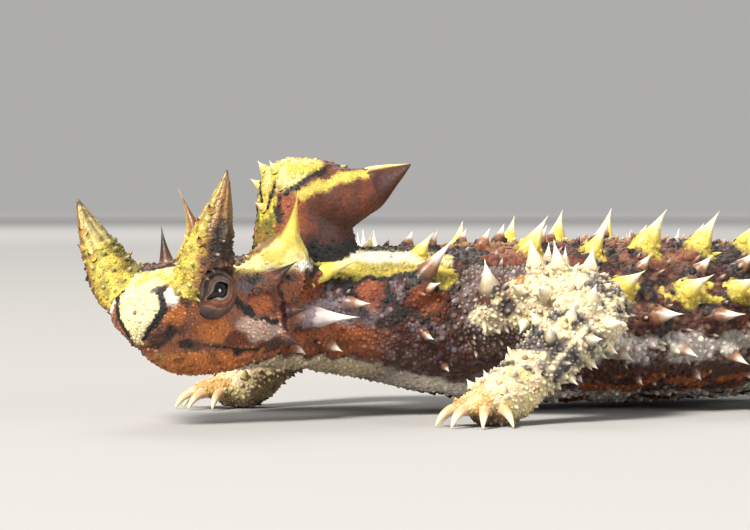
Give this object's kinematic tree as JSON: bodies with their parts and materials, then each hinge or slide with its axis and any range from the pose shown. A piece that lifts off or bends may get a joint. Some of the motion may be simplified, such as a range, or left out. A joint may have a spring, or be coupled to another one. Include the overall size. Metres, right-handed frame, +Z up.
{
  "type": "thorny devil lizard model",
  "caption": "Life-size still model of a thorny devil lizard standing on four feet, with spines all over, horns over the eyes and a spiny knob on the nape.",
  "frame": {"origin": "centre of the model's box on the floor, under the belly", "axes": "+Z up from the floor, +X towards the tail, -X towards the snout, -Y the animal's left side"},
  "size_m": [0.1594, 0.0694, 0.0269],
  "materials": {
    "skin": "dry granular scales, rust and yellow with dark lines",
    "limb": "dry granular scales, cream with grey-black mottling",
    "horn": "dry keratin spine, yellow to brown",
    "eye": "wet dark eye"
  },
  "bodies": {
    "root": {"head": "skin", "jaw": "skin", "neck": "skin", "torso": "skin", "tail_root": "skin", "tail_middle": "skin", "tail_tip": "skin", "eye_left": "eye", "eye_right": "eye", "horn_left": "horn", "horn_right": "horn", "nape_knob": "horn", "upper_arm_left": "limb", "forearm_left": "limb", "hand_left": "limb", "thigh_left": "limb", "shin_left": "limb", "foot_left": "limb", "upper_arm_right": "limb", "forearm_right": "limb", "hand_right": "limb", "thigh_right": "limb", "shin_right": "limb", "foot_right": "limb"}
  },
  "joints": []
}
